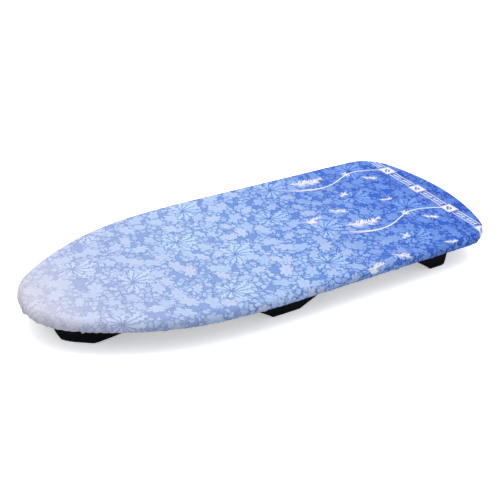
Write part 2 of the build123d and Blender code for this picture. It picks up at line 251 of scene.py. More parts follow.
class Look:
    """A Principled material made of nodes."""

    def __init__(self, name, **constants):
        self.material = bpy.data.materials.new(name)
        self.material.use_nodes = True
        self.tree = self.material.node_tree
        self.shader = self.tree.nodes["Principled BSDF"]
        for key, value in constants.items():
            self.shader.inputs[key.replace("_", " ")].default_value = value

    def node(self, kind, **settings):
        made = self.tree.nodes.new(kind)
        for key, value in settings.items():
            setattr(made, key, value)
        return made

    def link(self, a, b):
        self.tree.links.new(a.out if isinstance(a, Num) else a, b)

    def num(self, out):
        return Num(self.tree, out)

    def place(self, attribute=None):
        """X, Y and Z in millimetres, of the piece's own space or of a stored attribute."""
        if attribute:
            source = self.node("ShaderNodeAttribute", attribute_name=attribute).outputs["Vector"]
        else:
            source = self.node("ShaderNodeTexCoord").outputs["Object"]
        split = self.node("ShaderNodeSeparateXYZ")
        self.link(source, split.inputs[0])
        return [self.num(out) * 1000.0 for out in split.outputs]

    def vector(self, x, y, z=0.0):
        made = self.node("ShaderNodeCombineXYZ")
        for socket, value in zip(made.inputs, (x, y, z)):
            if isinstance(value, Num):
                self.link(value, socket)
            else:
                socket.default_value = value
        return made.outputs[0]

    def noise(self, vector, scale, detail=2.0, roughness=0.5):
        made = self.node("ShaderNodeTexNoise")
        self.link(vector, made.inputs["Vector"])
        made.inputs["Scale"].default_value = scale
        made.inputs["Detail"].default_value = detail
        made.inputs["Roughness"].default_value = roughness
        return self.num(made.outputs["Fac"])

    def voronoi(self, vector, scale, feature="F1", randomness=1.0, flat=True):
        made = self.node("ShaderNodeTexVoronoi", feature=feature)
        made.voronoi_dimensions = "2D" if flat else "3D"
        self.link(vector, made.inputs["Vector"])
        made.inputs["Scale"].default_value = scale
        made.inputs["Randomness"].default_value = randomness
        return made

    def colours(self, value, stops):
        """A colour ramp; stops are (position, sRGB 0 to 255)."""
        ramp = self.node("ShaderNodeValToRGB")
        self.link(value, ramp.inputs[0])
        while len(ramp.color_ramp.elements) < len(stops):
            ramp.color_ramp.elements.new(0.5)
        for element, (position, rgb) in zip(ramp.color_ramp.elements, stops):
            element.position = position
            element.color = (*linear(rgb), 1)
        return ramp.outputs[0]

    def mix(self, a, b, share):
        made = self.node("ShaderNodeMix", data_type="RGBA")
        for socket, value in ((made.inputs[6], a), (made.inputs[7], b), (made.inputs[0], share)):
            if isinstance(value, tuple):
                socket.default_value = (*value, 1)
            elif isinstance(value, float):
                socket.default_value = value
            else:
                self.link(value, socket)
        return made.outputs[2]

    def finish(self, colour=None, roughness=None, height=None, depth=0.0001):
        if colour is not None:
            self.link(colour, self.shader.inputs["Base Color"])
        if roughness is not None:
            self.link(roughness, self.shader.inputs["Roughness"])
        if height is not None:
            bump = self.node("ShaderNodeBump")
            bump.inputs["Distance"].default_value = depth
            self.link(height, bump.inputs["Height"])
            self.link(bump.outputs[0], self.shader.inputs["Normal"])
        return self.material


LIT = 1.49                    # how bright a white card on the board's top comes out


def linear(rgb):
    """The reflectance that shows as an sRGB colour under this scene's light."""
    out = []
    for value in rgb:
        v = value / 255
        out.append((v / 12.92 if v <= 0.04045 else ((v + 0.055) / 1.055) ** 2.4) / LIT)
    return out


# ---- the printed cotton --------------------------------------------------------------------
# Distances along the print are from the nose tip (x) and from the middle of the board (y).
PALETTE = [
    # from the nose, lines, ground, leaves
    (0, (198, 196, 212), (210, 208, 224), (222, 221, 236)),
    (40, (184, 189, 219), (198, 203, 229), (216, 221, 241)),
    (90, (152, 167, 211), (174, 188, 228), (208, 220, 248)),
    (130, (138, 158, 208), (162, 181, 227), (202, 218, 250)),
    (215, (120, 147, 205), (148, 174, 227), (197, 218, 251)),
    (300, (106, 138, 202), (138, 167, 225), (194, 217, 252)),
    (400, (82, 121, 200), (116, 153, 222), (182, 211, 253)),
    (460, (66, 109, 197), (101, 143, 220), (174, 205, 251)),
    (520, (52, 96, 193), (88, 131, 219), (162, 197, 250)),
    (580, (38, 81, 188), (60, 110, 214), (144, 185, 250)),
    (640, (34, 76, 184), (56, 106, 211), (134, 179, 248)),
    (730, (26, 61, 168), (44, 88, 197), (110, 154, 240)),
]
REPEAT = (160.0, 145.0)       # flowers along and across
DRIFT = (3.0, -1.5)           # of a row and of a column, because the cloth isn't quite square
FLOWER_SETS = ((88.0, 42.0), (146.0, -25.0))
PETALS = 12
MOTIF = 151.0                 # repeat of the white motifs across the board


def flower(x, y, origin, seed):
    """For one lattice of flowers, how far inside a petal a point is and how far from the
    nearest flower's middle, both in millimetres."""
    column = ((x - origin[0]) / REPEAT[0]).round()
    row = ((y - origin[1] - column * DRIFT[1]) / -REPEAT[1]).round()
    dx = x - origin[0] - column * REPEAT[0] - row * DRIFT[0]
    dy = y - origin[1] - column * DRIFT[1] + row * REPEAT[1]
    r = length(dx, dy)
    heading = angle(dy, dx)
    # petals curl a little, and are crowded in some directions and broad in others
    bend = heading + (r * 0.09 + seed).sin() * 0.12
    wide_turn, tight_turn = bend * 2.0 + seed, bend * 5.0 - seed
    turn = bend * (PETALS / (2 * pi)) + wide_turn.sin() * 0.38 + tight_turn.sin() * 0.10
    rate = (wide_turn.cos() * 0.76 + tight_turn.cos() * 0.50) + PETALS / (2 * pi)
    petal = turn.round()                  # its number, and how far off its axis the point is
    side = turn - petal
    chance, other = petal.hash(seed), petal.hash(seed + 3.0)
    # longer towards the square end, each petal a narrow stalk that widens to a lobed blade
    reach = (16.0 + chance * 22.0) * (1.0 + (heading + 0.25).cos() * 0.22)
    share = r / reach
    blade = share.ramp(0.05, 0.70, 0.22, 1.0) * (1.0 - share.power(6.0)).max(0.0)
    wave = ((r + chance * 9.0) * 0.86 + side.op("SIGN") * 1.3).sin()
    lobes = 1.0 + wave * 0.50 * share.ramp(0.25, 0.5)
    half_width = blade * lobes * (3.4 + other * 3.0)
    across = side.abs() / rate * r
    inside = half_width.min(r / rate * 0.5 - 0.38) - across - 0.16
    return inside - (r - reach).max(0.0) * 0.7, r


def scattered(look, x, y, cell, seed):
    """The nearest of many scattered spots: place along and across its own heading, the distance
    to the next spot's share of the cloth, and three numbers from 0 to 1 that are its own."""
    x, y = x + seed * 13.7, y + seed * 7.9
    spot = look.vector(x, y)
    cells = look.voronoi(spot, 1 / cell, randomness=0.85)
    rim = look.voronoi(spot, 1 / cell, "DISTANCE_TO_EDGE", randomness=0.85)
    centre = look.node("ShaderNodeSeparateXYZ")
    look.link(cells.outputs["Position"], centre.inputs[0])
    colour = look.node("ShaderNodeSeparateColor")
    look.link(cells.outputs["Color"], colour.inputs[0])
    chances = [look.num(out) for out in colour.outputs]
    dx, dy = x - look.num(centre.outputs[0]), y - look.num(centre.outputs[1])
    heading = chances[0] * (2 * pi)
    c, s = heading.cos(), heading.sin()
    edge = look.num(rim.outputs["Distance"]) * cell
    return dx * c + dy * s, dy * c - dx * s, edge, chances


def lobed_leaves(look, x, y, cell, size, seed):
    """Broad leaves with scalloped edges: how far inside one a point is, how far from its
    midrib, and a number from 0 to 1 that is the leaf's own."""
    along, across, _, (_, other, third) = scattered(look, x, y, cell, seed)
    wide = across * 1.7
    count = (other * 3.0).floor() + 5.0
    scallop = (angle(wide, along) * count * 0.5).cos().abs()
    reach = (0.52 + scallop.power(0.8) * 0.48) * (size * 0.80 + third * size * 0.45)
    vein = (across.abs() - 0.25).max(along.abs() - size * 0.45)
    return (reach - length(along, wide)) * 0.8, vein, other


def leaflets(look, x, y, cell, size, slim, seed):
    """Pointed leaflets, close together: how far inside one a point is, and a number from
    0 to 1 that is the leaflet's own."""
    along, across, edge, (_, other, third) = scattered(look, x, y, cell, seed)
    share = along / (size * 0.85 + third * size * 0.4)
    wave = 1.0 + (along * (9.0 / size) + third * 6.0).sin() * 0.24
    width = (1.0 - share * share) * (size / slim) * wave
    return (width - across.abs()).min(edge - 0.5), other


def feather(look, x, y, centre, heading, size, curl):
    """A soft white plume with loose barbs: size is its half length and half width."""
    c, s = cos(radians(heading)), sin(radians(heading))
    dx, dy = x - centre[0], y - centre[1]
    along, across = dx * c + dy * s, dy * c - dx * s
    across = across - along * along * curl
    combed = look.vector(along - across.abs() * 0.8, across * 0.22, centre[0])
    barbs = look.noise(combed, 0.36, 2.0, 0.75)
    u, v = along / size[0], across / size[1]
    body = 1.0 - u * u - v * v
    plume = (body * 0.9 + (barbs - 0.5) * 5.0).ramp(0.35, 1.1) * body.ramp(-0.75, 0.05)
    shaft = (across.abs() - 0.5).ramp(0.0, 1.0, 1.0, 0.0) * u.abs().ramp(0.75, 0.95, 0.9, 0.0)
    return plume.max(shaft)


FEATHERS = [
    # centre, heading, half length and width, curl
    ((528, 113), -8, (28, 11.0), 0.006),
    ((552, 112), 22, (17, 8.0), -0.004),
    ((563, 52), 28, (12, 6.0), 0.01),
    ((640, 80), -35, (14, 7.0), 0.008),
    ((466, 4), 4, (18, 8.5), 0.006),
    ((519, 10), -38, (17, 8.5), 0.006),
    ((615, 7), -14, (13, 5.0), 0.012),
]
LINE = [
    # the wavy line: along and across, in the first repeat
    (476, 108), (495, 98), (513, 92), (533, 86.5), (550, 86), (567, 89), (587, 97), (600, 103),
    (613, 108), (627, 110), (643, 108.5), (660, 103), (677, 96),
]
LINE_FLOOR = 60.0             # the line's places across are from this to twice this
STAR = (612.0, 109.0)         # where a small plume star sits on the line
STRIP_X = 686.0               # middle of the strip of badges
SQUARE_Y = 88.0               # middle of one badge
TURN_UNDER, TURN_TOP = 36.5, 51.5      # heights between which the cloth turns under
THREADS = 0.55                # from thread to thread
GREY_LEAF = tuple(linear((208, 213, 233)))
WHITE_INK = tuple(linear((250, 248, 253)))


def leaf_print(look, x, y, drift):
    """Flowers, then broad leaves where there is no flower, then leaflets in what is left.
    Gives how pale the print is, how far inside any shape a point is, and the broad leaves."""
    warp_x = (look.noise(drift, 0.075, 1.0) - 0.5) * 5.0
    warp_y = (look.noise(look.vector(x + 311.0, y - 97.0), 0.075, 1.0) - 0.5) * 5.0
    wobble = (look.noise(drift, 0.33, 0.0) - 0.5) * 1.6
    wx, wy = x + warp_x + wobble, y + warp_y - wobble
    fx, fy = x + warp_x * 0.35 + wobble * 0.5, y + warp_y * 0.35 - wobble * 0.5

    first, r_1 = flower(fx, fy, FLOWER_SETS[0], seed=1.0)
    second, r_2 = flower(fx, fy, FLOWER_SETS[1], seed=5.0)
    flowers = first.max(second)
    away = r_1.min(r_2)
    large, vein, of_large = lobed_leaves(look, wx, wy, cell=30.0, size=14.5, seed=0.0)
    large = large.min(-flowers - 1.0).min(away - 15.0)
    # patches with no leaflets, where the ground shows
    bare = look.noise(look.vector(x, y, 40.0), 0.055, 1.0).ramp(0.56, 0.64) * away.ramp(20, 28)
    slim, of_slim = leaflets(look, wx, wy, cell=10.0, size=8.0, slim=1.9, seed=3.0)
    slim = slim.min(-flowers.max(large) - 1.0) - bare * 6.0
    tiny, of_tiny = leaflets(look, wx, wy, cell=5.2, size=3.6, slim=1.9, seed=7.0)
    tiny = tiny.min(-flowers.max(large).max(slim) - 0.8) - bare * 6.0

    tone = flowers.ramp(-0.25, 0.35) * (0.80 + flowers.ramp(0.3, 1.6) * 0.20)
    leaves = large.ramp(-0.25, 0.35) * (0.80 + of_large * 0.15) * vein.ramp(-0.2, 0.3, 0.6, 1.0)
    leaves = leaves.max(slim.ramp(-0.25, 0.35) * (0.58 + of_slim * 0.36))
    leaves = leaves.max(tiny.ramp(-0.25, 0.35) * (0.30 + of_tiny * 0.50))
    tone = (tone * x.ramp(330, 600, 1.0, 0.80)).max(leaves * x.ramp(330, 600, 0.97, 0.68))
    tone = tone * (0.84 + look.noise(drift, 0.5, 2.0) * 0.30)
    solid = flowers.max(large).max(slim).max(tiny)
    return tone, solid, (large, of_large)


def wavy_line(look, x, y):
    """The white line that swings up towards the strip: two strands that become one."""
    curve = look.node("ShaderNodeFloatCurve")
    low, high = LINE[0][0], LINE[-1][0]
    line = curve.mapping.curves[0]
    while len(line.points) < len(LINE):
        line.points.new(0.5, 0.5)
    for point, (at, off) in zip(line.points, LINE):
        point.location = ((at - low) / (high - low), (off - LINE_FLOOR) / LINE_FLOOR)
    curve.mapping.update()
    look.link((x - low) / (high - low), curve.inputs["Value"])
    centre_y = look.num(curve.outputs[0]) * LINE_FLOOR + LINE_FLOOR
    gap = (y - centre_y).abs()
    present = x.ramp(low, low + 40, 0.12, 1.0) * x.above(low) * x.below(high + 2)
    strand = (gap - x.ramp(low, 560, 2.6, 0.0)).abs()
    return strand.ramp(0.6, 1.5, 1.0, 0.0) * present


def plume_star(look, x, y):
    """A small star of soft rays on the wavy line."""
    streaks = look.noise(look.vector(x, y, 9.0), 0.42, 2.0, 0.6)
    dx, dy = x - STAR[0], y - STAR[1]
    r = length(dx, dy)
    rays = (angle(dy, dx) * 6.0 + r * 0.2).sin() * 0.5 + 0.5
    return (r.ramp(2.0, 13.0, 1.0, 0.0) * (rays * 0.75 + 0.25 + (streaks - 0.5))).ramp(0.32, 0.75)


def badge_strip(x, y):
    """A strip across the square end: plain square badges with a leaf shape cut out of each,
    and framed rows of slanted dashes between them."""
    strip = x - STRIP_X
    beat = (y - SQUARE_Y) / (MOTIF / 2)
    near = (beat - beat.round()) * (MOTIF / 2)          # from the nearest badge's middle
    badge = strip.abs().max(near.abs() * 0.96)
    fill = badge.ramp(10.2, 10.9, 1.0, 0.0)
    leaf_x, leaf_y = (strip - near) * 0.7071, (strip + near) * 0.7071
    leaf = leaf_y * leaf_y * 0.018 + (leaf_x + leaf_y * leaf_y * 0.05).abs() * 0.21
    hole = leaf.ramp(0.85, 1.05, 1.0, 0.0) * leaf_x.abs().ramp(0.4, 0.9)
    rim = badge.ramp(8.4, 8.9) * badge.ramp(9.6, 10.1, 1.0, 0.0)
    fill = fill * (1.0 - hole * 0.85) * (1.0 - rim * 0.45)
    reach = near.abs()
    rails = (strip.abs() - 6.2).abs().ramp(0.6, 1.2, 1.0, 0.0)
    rails = rails * reach.above(13.5) * reach.below(37.0)
    slanted = ((near + strip * 0.3) * 1.15).sin().ramp(-0.3, 0.2)
    dashes = slanted * strip.abs().ramp(2.3, 3.0, 1.0, 0.0)
    dashes = dashes * reach.above(15.5) * reach.below(36.0)
    return fill.max(rails * 0.95).max(dashes)


def cotton():
    """The cover's material: a pale leaf print on a ground that deepens towards the square
    end, with white motifs near it, on a plain weave, and painted shade on its near side and where it
    turns under."""
    look = Look("printed_cotton", Roughness=0.82, Sheen_Weight=0.03, Sheen_Roughness=0.45,
                Specular_IOR_Level=0.08)
    x, y, _ = look.place("cloth")
    height = look.place()[2]
    x = x + LENGTH / 2
    drift = look.vector(x, y)
    tone, solid, (large, of_large) = leaf_print(look, x, y, drift)

    # colours along the board; painted shade moves them towards the dark end on the near side and
    # where the cloth turns under
    mottled = look.noise(drift, 0.02, 3.0) - 0.5
    painted_shade_shift = (-y).ramp(30, 150) * 24.0 + (-height).ramp(-TURN_TOP, -TURN_UNDER) * 90.0
    run = (x + mottled * 26.0 + painted_shade_shift * x.ramp(150, 400)) / LENGTH
    lines, ground, paper = (look.colours(run, [(row[0] / LENGTH, row[k]) for row in PALETTE])
                            for k in (1, 2, 3))
    speckle = look.noise(drift, 0.9, 2.0, 0.7).ramp(0.38, 0.62)
    ground = look.mix(ground, lines, solid.ramp(-2.0, -0.5).max(speckle * 0.5))
    greyed = x.ramp(60, 200) * x.ramp(430, 600, 1.0, 0.0) * 0.55
    paper = look.mix(paper, GREY_LEAF, of_large * large.ramp(-0.3, 0.3) * greyed)
    colour = look.mix(ground, paper, tone)

    # white motifs, which repeat across the board
    fold = ((y + MOTIF / 2 - LINE_FLOOR) / MOTIF).floor()
    folded_y = y - fold * MOTIF
    white = wavy_line(look, x, folded_y).max(plume_star(look, x, folded_y))
    for centre, heading, size, curl in FEATHERS:
        white = white.max(feather(look, x, folded_y, centre, heading, size, curl))
    worn = 0.72 + look.noise(drift, 0.9, 1.0) * 0.45
    white = white.max(badge_strip(x, y) * worn).min(1.0)
    colour = look.mix(colour, WHITE_INK, white * 0.96)

    # plain weave: two sets of threads over and under each other, with slubs
    pitch = 2 * pi / THREADS
    over = (x * pitch).sin() * (y * pitch).sin()
    slubs = look.noise(look.vector(x * 0.6, y * 6.0), 0.8, 2.0)
    # painted shade: the colour is darkened where the cloth turns under the edge
    value = (0.965 + slubs * 0.05 + over * 0.012) * height.ramp(TURN_UNDER, TURN_TOP, 0.56, 1.0)
    shade = look.node("ShaderNodeHueSaturation")
    look.link(value, shade.inputs["Value"])
    look.link(colour, shade.inputs["Color"])
    return look.finish(shade.outputs[0], 0.78 + slubs * 0.14, over * 0.5 + slubs, 0.00006)


def plastic(name, rgb, rough, grain, gloss=0.35, wear=0.35):
    """Moulded plastic with a fine spark-eroded grain, paler where it is rubbed; rgb is its
    reflectance as 0 to 255."""
    look = Look(name, Specular_IOR_Level=gloss)
    x, y, z = look.place()
    at = look.vector(x, y, z)
    fine = look.noise(at, grain, 3.0, 0.6)
    broad = look.noise(at, 0.035, 2.0)
    base = tuple(v / 255 for v in rgb)
    pale = tuple(min(1.0, v * (1 + wear) + 0.001) for v in base)
    geometry = look.node("ShaderNodeNewGeometry")
    rub = look.num(geometry.outputs["Pointiness"]).ramp(0.505, 0.56)
    colour = look.mix(base, pale, (broad * 0.5 + rub * 0.5 + (fine - 0.5) * 0.4).ramp(0.1, 0.9))
    return look.finish(colour, rough + (fine - 0.5) * 0.16 + (broad - 0.5) * 0.08, fine, 0.00012)


BEAD = 3.2                    # size of a bead of the core's foam
RIB = 2.4                     # from rib to rib of the pads
PORE, CRINKLE = 0.9, 9.0      # sizes of the padding's cells and of the film's facets


def foam_skin():
    """The core's moulded bead foam: flat-faced beads pressed together, matt black."""
    look = Look("bead_foam", Specular_IOR_Level=0.3)
    x, y, z = look.place()
    at = look.vector(x, y, z)
    beads = look.voronoi(at, 1 / BEAD, "DISTANCE_TO_EDGE", flat=False)
    tints = look.voronoi(at, 1 / BEAD, "F1", flat=False)
    seam = look.num(beads.outputs["Distance"]).ramp(0.0, 0.16)
    split = look.node("ShaderNodeSeparateColor")
    look.link(tints.outputs["Color"], split.inputs[0])
    shade = look.num(split.outputs[0]) * 0.5 + seam * 0.5
    fine = look.noise(at, 1.6, 3.0)
    colour = look.mix((0.020, 0.020, 0.022), (0.052, 0.052, 0.056), shade * 0.8 + fine * 0.2)
    return look.finish(colour, 0.62 + fine * 0.2 - seam * 0.08, seam + fine * 0.3, 0.0004)


def rubber():
    """The foot pads: dark rubber with a fine cross-ribbed face."""
    look = Look("rubber", Specular_IOR_Level=0.3)
    x, y, z = look.place()
    at = look.vector(x, y, z)
    fine = look.noise(at, 1.1, 3.0, 0.65)
    k = 2 * pi / RIB
    ribs = ((x + y) * k).sin() * ((x - y) * k).sin()
    colour = look.mix((0.018, 0.018, 0.019), (0.048, 0.047, 0.046), fine.ramp(0.3, 0.8))
    return look.finish(colour, 0.78 + (fine - 0.5) * 0.2, ribs.ramp(-0.2, 0.4) + fine * 0.3, 0.00035)


def metal(name, dark, light, rough, scratch):
    """Plated or turned metal; scratch is how close its fine marks are along each axis."""
    look = Look(name, Metallic=1.0)
    x, y, z = look.place()
    broad = look.noise(look.vector(x, y, z), 0.35, 3.0)
    lines = look.noise(look.vector(x * scratch[0], y * scratch[1], z * scratch[2]), 1.0, 3.0, 0.7)
    colour = look.mix(dark, light, broad * 0.5 + lines * 0.5)
    return look.finish(colour, rough + (lines - 0.5) * 0.2 + (broad - 0.5) * 0.12, lines, 0.00004)


def cloth_like(name, dark, light, pitch):
    """Plain or braided threads in one colour."""
    look = Look(name, Sheen_Weight=0.2, Sheen_Roughness=0.4, Specular_IOR_Level=0.25)
    x, y, z = look.place()
    at = look.vector(x, y, z)
    k = 2 * pi / pitch
    over = ((x + z) * k).sin() * ((y - z) * k).sin()
    fuzz = look.noise(at, 1.3, 3.0, 0.6)
    broad = look.noise(at, 0.06, 2.0)
    colour = look.mix(dark, light, over * 0.2 + fuzz * 0.35 + broad * 0.45)
    return look.finish(colour, 0.8 + (fuzz - 0.5) * 0.2, over * 0.6 + fuzz, 0.00012)


def open_foam():
    """The padding's open-celled foam."""
    look = Look("open_foam", Specular_IOR_Level=0.2)
    x, y, z = look.place()
    at = look.vector(x, y, z)
    cells = look.num(look.voronoi(at, 1 / PORE, "DISTANCE_TO_EDGE", flat=False).outputs["Distance"])
    broad = look.noise(at, 0.05, 3.0)
    share = cells.ramp(0.0, 0.3) * 0.5 + broad * 0.5
    colour = look.mix((0.62, 0.60, 0.54), (0.80, 0.79, 0.75), share)
    return look.finish(colour, 0.88 + (broad - 0.5) * 0.1, cells.ramp(0.0, 0.25), 0.0003)


def foil():
    """The heat-reflecting film, lightly crinkled."""
    look = Look("metallised_film", Metallic=0.75)
    x, y, z = look.place()
    at = look.vector(x, y, z)
    crinkle = look.num(look.voronoi(at, 1 / CRINKLE, "DISTANCE_TO_EDGE").outputs["Distance"])
    fine = look.noise(at, 0.8, 3.0)
    colour = look.mix((0.58, 0.60, 0.62), (0.78, 0.79, 0.80), fine * 0.6 + crinkle * 0.8)
    return look.finish(colour, 0.34 + fine * 0.2, crinkle.ramp(0.0, 0.12) + fine * 0.4, 0.0004)


def paint(piece, material):
    """Gives a piece one material throughout."""
    for slot in piece.material_slots:
        slot.material = material
    if not piece.material_slots:
        piece.data.materials.append(material)


def thicken(piece, by):
    """Gives a surface the cloth's thickness, inwards."""
    thick = piece.modifiers.new("cloth_thickness", "SOLIDIFY")
    thick.thickness = by * MM
    thick.offset = -1
    return thick


# ---- the cover ------------------------------------------------------------------------------
def gathers(along, total, short, long, seed):
    """Rounded folds of many widths with sharp valleys between them: 0 in a valley, up to 1
    on a fold."""
    rng = np.random.default_rng(seed)
    count = int(total / ((short + long) / 2))
    widths = rng.uniform(short, long, count)
    edges = np.concatenate([[0], np.cumsum(widths)]) * total / widths.sum()
    k = np.clip(np.searchsorted(edges, along, side="right") - 1, 0, count - 1)
    share = (along - edges[k]) / (edges[k + 1] - edges[k])
    height = rng.uniform(0.45, 1.0, count)[k]
    return np.sin(np.clip(share, 0, 1) * pi) ** 0.7 * height


def smooth(value, low, high):
    """0 at low, 1 at high, and a smooth step between them; low may be the larger."""
    t = np.clip((value - low) / (high - low), 0, 1)
    return t * t * (3 - 2 * t)


STEP = 1.9                    # from point to point round the cover
HEM_STAGE = 2.0               # the cover's profile: 0 on top, 1 underneath, 2 at the hem
places, normals, along = outline(STEP)
total = along[-1] + STEP
# folds are closest where the outline turns: round the nose and the two corners
turning = np.maximum(
    smooth(np.abs(along - total / 2), 190, 60),
    smooth(np.abs(np.minimum(along, total - along) - 145), 75, 25),
)
fine_folds = gathers(along, total, short=5.5, long=11.0, seed=3)
broad_folds = gathers(along, total, short=17.0, long=34.0, seed=4)
# a few tucks reach further up the rolled edge: place along the outline, height and half width
TUCKS = [
    (total - 700, 0.9, 2.6), (total - 560, 0.7, 3.0), (total - 330, 0.8, 2.6),
    (total - 262, 0.9, 2.4), (total - 170, 1.2, 2.4), (total - 128, 1.1, 2.0),
    (128, 1.1, 2.2), (172, 1.0, 2.4), (640, 0.8, 2.8), (770, 1.2, 2.2), (835, 1.3, 2.0),
    (total - 868, 0.9, 2.0),
]
# two pinched ones, above the nose foot and at the nose
DEEP_TUCKS = [(total - 803.8, 2.3, 1.9), (total - 896.6, 1.9, 1.8)]


def bump(at, width):
    """A rounded ridge across the outline, 1 at its middle."""
    return np.exp(-(((along - at + total / 2) % total - total / 2) / width) ** 2)


tuck = sum(h * bump(at, w) for at, h, w in TUCKS)
valley = sum(h * bump(at + 2.4 * w, w) for at, h, w in TUCKS)
deep = sum(h * (bump(at, w) - 0.6 * bump(at - 2.2 * w, w)) for at, h, w in DEEP_TUCKS)

FIRST_INSET = 56.0            # where the profile starts on the top
ROLLED = 24                   # steps round the rolled edge
TUCKED, TUCKED_STEP = 5, 1.45          # steps on underneath to the hem, and their length


def cover_profile():
    """Inset, height, distance along the cloth from where the roll starts, and stage."""
    rows = [(d, TOP, EDGE - d, 0.0) for d in np.arange(FIRST_INSET, EDGE, -6.0)]
    for k in range(ROLLED + 1):
        a = pi * k / ROLLED
        height = TOP - EDGE + EDGE * cos(a) - (0.4 if a > pi / 2 else 0)
        rows.append((EDGE - EDGE * sin(a), height, EDGE * a, k / ROLLED))
    for k in range(1, TUCKED + 1):
        under = TUCKED_STEP * k
        rows.append((EDGE + under, UNDER - 0.18 * k * k / 4, EDGE * pi + under, 1 + k / TUCKED))
    return rows


def make_cover():
    """The cloth as one surface, drawn tight on top and gathered where it turns under. Each
    point also keeps its place on the flat cloth, which the print follows."""
    rings, flats = [], []
    for inset, height, run, stage in cover_profile():
        rising = smooth(stage, 0.38, 1.05)
        swell = rising * (0.75 + 0.65 * turning) * fine_folds * 1.25
        swell += smooth(stage, 0.28, 0.8) * broad_folds * (0.45 + 0.35 * turning)
        swell += smooth(stage, 0.18, 0.6) * tuck - smooth(stage, 0.2, 0.7) * 0.25 * valley
        swell += smooth(stage, 0.10, 0.62) * deep
        swell = np.maximum(swell, 0) * (1 - 0.5 * smooth(stage, 1.3, HEM_STAGE))
        turned_by = pi * min(stage, 1.0)
        out = swell * sin(turned_by) - inset
        rise = swell * cos(turned_by) * (stage > 0)
        rings.append(np.c_[places + normals * out[:, None], np.full(len(places), height) + rise])
        flats.append(np.c_[places + normals * (run - EDGE), np.zeros(len(places))])
    for ring in inner_rings(places, normals, FIRST_INSET - 8.0 + 0.01, TOP)[1:]:
        rings.insert(0, ring)
        flats.insert(0, np.c_[ring[:, :2], np.zeros(len(ring))])
    points = np.concatenate(rings)
    flat = np.concatenate(flats)
    # soft unevenness of the padding under the tight cloth
    calm = smooth(points[:, 2], TOP - 3, TOP)
    ripple = (np.sin(points[:, 0] / 23 + 1.3 * np.sin(points[:, 1] / 31)) * 0.16
              + np.sin(points[:, 1] / 17 + 1.1 * np.sin(points[:, 0] / 41)) * 0.14)
    points[:, 2] += calm * (ripple - 0.30)
    piece = new_object("cover_fabric", points, bridge(len(places), len(rings), flip=True))
    store = piece.data.attributes.new("cloth", "FLOAT_VECTOR", "POINT")
    store.data.foreach_set("vector", (flat * MM).astype(np.float32).ravel())
    merge_close(piece)
    thicken(piece, 0.6).use_even_offset = False
    return piece


cover = make_cover()
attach(cover, "board")
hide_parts("cover_cloth")
paint(cover, cotton())


# ---- layers under the cover --------------------------------------------------------------
LAYER_STEP = 5.0              # from point to point round a layer


def layer(name, bottom, top, lumps):
    """A thin slab that fills the rolled board's outline between two heights, a little uneven
    on top."""
    spots, outs, _ = outline(LAYER_STEP)
    middle = TOP - EDGE
    radius = EDGE - LAYER - 0.05          # leaves a hair of air under the cloth

    def inset_at(z):
        return EDGE - sqrt(max(radius**2 - (z - middle) ** 2, 0.0))

    heights = np.linspace(bottom, top, 5)
    side = [np.c_[spots - inset_at(z) * outs, np.full(len(spots), z)] for z in heights]
    upper = inner_rings(spots, outs, inset_at(top), top)
    lower = inner_rings(spots, outs, inset_at(bottom), bottom)
    rings = lower[::-1] + side + upper
    points = np.concatenate(rings)
    raised = smooth(points[:, 2], (bottom + top) / 2, top)
    waves = np.sin(points[:, 0] / 9) * np.sin(points[:, 1] / 8)
    points[:, 2] -= raised * lumps * (0.5 + 0.5 * waves)
    piece = new_object(name, points, bridge(len(spots), len(rings)))
    merge_close(piece)
    return piece


padding = layer("foam_padding", bottom=48.35, top=52.1, lumps=0.12)
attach(padding, "board")
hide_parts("padding")
paint(padding, open_foam())

film = layer("heat_film", bottom=47.93, top=48.17, lumps=0.0)
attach(film, "board")
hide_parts("reflective_film")
paint(film, foil())


# ---- gathered hem, its stitches and the drawstring ----------------------------------------
def hem_path(step, start):
    """The middle line of the hem's tunnel, and distances along the board's outline."""
    spots, outs, runs = outline(step, start)
    return np.c_[spots - HEM_INSET * outs, np.full(len(spots), HEM_Z)], runs


hem_line, hem_runs = hem_path(1.6, MOUTH_ANGLE)
hem_folds = gathers(hem_runs, hem_runs[-1], short=5.0, long=10.0, seed=8)
hem_sway = gathers(hem_runs, hem_runs[-1], short=18.0, long=36.0, seed=9)


def hem_radius(k, a):
    """The tunnel is puckered into small folds, most of all at the bottom."""
    low = 0.5 - 0.5 * sin(a)                      # 1 at the bottom of the tunnel
    folds = hem_folds[k] * (0.45 + 0.55 * low)
    return 1.95 + 0.75 * folds + 0.45 * hem_sway[k] * low + 0.12 * sin(3 * a + k * 0.35)


hem = tube("hem_gathers", hem_line, hem_radius, sides=14, cap=False)
thicken(hem, 0.35)
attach(hem, "board")
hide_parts("hem_binding")
paint(hem, cloth_like("hem_cotton", (0.50, 0.56, 0.78), (0.72, 0.75, 0.90), pitch=THREADS))

STITCH_STEP = 3.4             # from stitch to stitch
STITCH_HALF = 1.2             # half a stitch's length
THREAD_RADIUS = 0.30


def stitches():
    """A row of thread stitches where the hem tunnel is sewn to the cover."""
    spots, outs, _ = outline(STITCH_STEP, MOUTH_ANGLE)
    points, faces = [], []
    sides, rings = 6, 5
    for k in range(1, len(spots) - 1):
        heading = np.array([-outs[k][1], outs[k][0]])
        centre = spots[k] - (HEM_INSET - 2.35) * outs[k]
        base = len(points)
        for r in range(rings):
            t = -1 + 2 * r / (rings - 1)
            thick = THREAD_RADIUS * sqrt(max(0.06, 1 - t * t * 0.94))
            for s in range(sides):
                a = 2 * pi * s / sides
                flat = centre + heading * t * STITCH_HALF + outs[k] * thick * cos(a)
                points.append((flat[0], flat[1], HEM_Z + 1.25 - 0.2 * t * t + thick * sin(a)))
        shell = bridge(sides, rings) + caps(sides, rings * sides)
        faces += [tuple(base + corner for corner in face)[::-1] for face in shell]
    return new_object("hem_stitches", points, faces)


